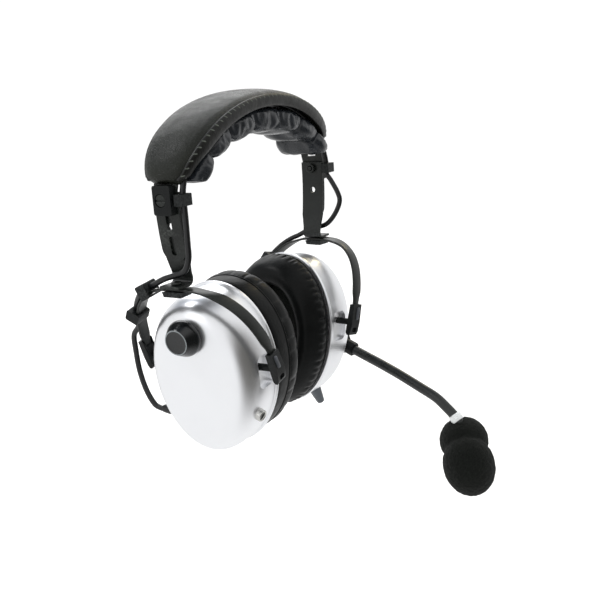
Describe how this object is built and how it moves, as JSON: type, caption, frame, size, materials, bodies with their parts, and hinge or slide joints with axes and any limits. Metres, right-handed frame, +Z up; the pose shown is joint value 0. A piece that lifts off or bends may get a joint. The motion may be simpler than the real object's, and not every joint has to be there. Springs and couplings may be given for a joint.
{
  "type": "aviation headset",
  "caption": "Aviation headset: sprung padded headband, sliding arms, yokes, tilting oval ear cups with seals, volume knob, jack and a foam-tipped microphone boom.",
  "frame": {"origin": "middle of the cushion's flat underside at the crown, where the headset rests on a head", "axes": "+Z up, +X towards the wearer's left, -Y the way the wearer looks"},
  "size_m": [0.1595, 0.1799, 0.247],
  "materials": {
    "silver_paint": "satin silver paint over moulded plastic",
    "black_steel": "thin black paint on spring steel, satin",
    "black_plastic": "moulded black plastic",
    "leather_cover": "dark olive-grey leather-look cover, soft sheen",
    "cushion_vinyl": "puffy slate blue-grey vinyl",
    "seal_vinyl": "soft black vinyl",
    "foam": "open-cell foam",
    "rubber": "smooth rubber",
    "steel": "plated steel",
    "chrome": "nickel-plated",
    "clear_sleeve": "milky clear plastic"
  },
  "bodies": {
    "headband": {"headband_band": "black_steel", "head_pad_cover": "leather_cover", "head_pad_cushion": "cushion_vinyl", "lead_through_pad": "rubber"},
    "left_arm": {"left_arm_strap": "black_steel", "left_adjuster_block": "black_plastic", "left_clamp_screw": "black_steel", "left_clamp_nut": "black_steel", "left_arm_lead_clip": "black_plastic", "left_arm_lead": "rubber"},
    "left_yoke": {"left_yoke_strap": "black_steel", "left_yoke_front_pivot": "black_plastic", "left_yoke_rear_pivot": "black_plastic", "left_swivel_rivet": "black_steel", "left_swivel_retainer": "black_plastic", "left_yoke_lead": "rubber", "left_cup_lead": "rubber", "left_yoke_lead_clip": "black_plastic"},
    "left_cup": {"left_cup_shell": "silver_paint", "left_seal_plate": "black_plastic", "left_ear_seal": "seal_vinyl", "left_ear_foam": "foam", "left_speaker": "black_plastic", "left_damping_foam": "foam", "left_lead_gland": "rubber", "left_boom_bracket": "black_plastic", "left_main_lead_gland": "rubber"},
    "right_arm": {"right_arm_strap": "black_steel", "right_adjuster_block": "black_plastic", "right_clamp_screw": "black_steel", "right_clamp_nut": "black_steel", "right_arm_lead_clip": "black_plastic", "right_arm_lead": "rubber"},
    "right_yoke": {"right_yoke_strap": "black_steel", "right_yoke_front_pivot": "black_plastic", "right_yoke_rear_pivot": "black_plastic", "right_swivel_rivet": "black_steel", "right_swivel_retainer": "black_plastic", "right_yoke_lead": "rubber", "right_cup_lead": "rubber", "right_yoke_lead_clip": "black_plastic", "right_yoke_upper_lead_clip": "black_plastic"},
    "right_cup": {"right_cup_shell": "silver_paint", "right_seal_plate": "black_plastic", "right_ear_seal": "seal_vinyl", "right_ear_foam": "foam", "right_speaker": "black_plastic", "right_damping_foam": "foam", "right_lead_gland": "rubber", "right_jack_bush": "chrome", "right_volume_potentiometer": "steel"},
    "volume_knob": {"right_volume_knob": "black_plastic"},
    "boom": {"boom_hub": "black_plastic", "boom_tube": "rubber", "boom_sleeve": "clear_sleeve", "microphone": "black_plastic", "mic_muff": "foam"}
  },
  "joints": [
    {"name": "left_arm_slide", "type": "hinge", "parent": "headband", "child": "left_arm", "pos_m": [-0.082, 0, -0.028], "axis": [0, 1, 0], "range_deg": [0, 3.6], "deforming": ["lead_through_pad"]},
    {"name": "left_yoke_swivel", "type": "hinge", "parent": "left_arm", "child": "left_yoke", "pos_m": [0.0735, 0, -0.0733], "axis": [0, 0, 1], "range_deg": [-8, 8], "deforming": ["left_arm_lead"]},
    {"name": "left_cup_tilt", "type": "hinge", "parent": "left_yoke", "child": "left_cup", "pos_m": [0.04974, 0.00292, -0.121], "axis": [0.1219, 0.9925, 0], "range_deg": [-12, 3], "deforming": ["left_cup_lead"]},
    {"name": "right_arm_slide", "type": "hinge", "parent": "headband", "child": "right_arm", "pos_m": [0.082, 0, -0.028], "axis": [0, 1, 0], "range_deg": [-3.6, 0], "deforming": ["lead_through_pad"]},
    {"name": "right_yoke_swivel", "type": "hinge", "parent": "right_arm", "child": "right_yoke", "pos_m": [-0.0735, 0, -0.0733], "axis": [0, 0, 1], "range_deg": [-8, 8], "deforming": ["right_arm_lead"]},
    {"name": "right_cup_tilt", "type": "hinge", "parent": "right_yoke", "child": "right_cup", "pos_m": [-0.04958, 0.00075, -0.121], "axis": [-0.0314, 0.9995, 0], "range_deg": [-3, 12], "deforming": ["right_cup_lead"]},
    {"name": "volume_knob_turn", "type": "hinge", "parent": "right_cup", "child": "volume_knob", "pos_m": [-0.07319, 0.00051, -0.10168], "axis": [-0.9964, -0.0313, -0.0785], "range_deg": [-135, 135]},
    {"name": "boom_swing", "type": "hinge", "parent": "left_cup", "child": "boom", "pos_m": [0.07238, -0.01195, -0.14416], "axis": [0.9895, -0.1215, -0.0785], "range_deg": [-55, 25]}
  ]
}
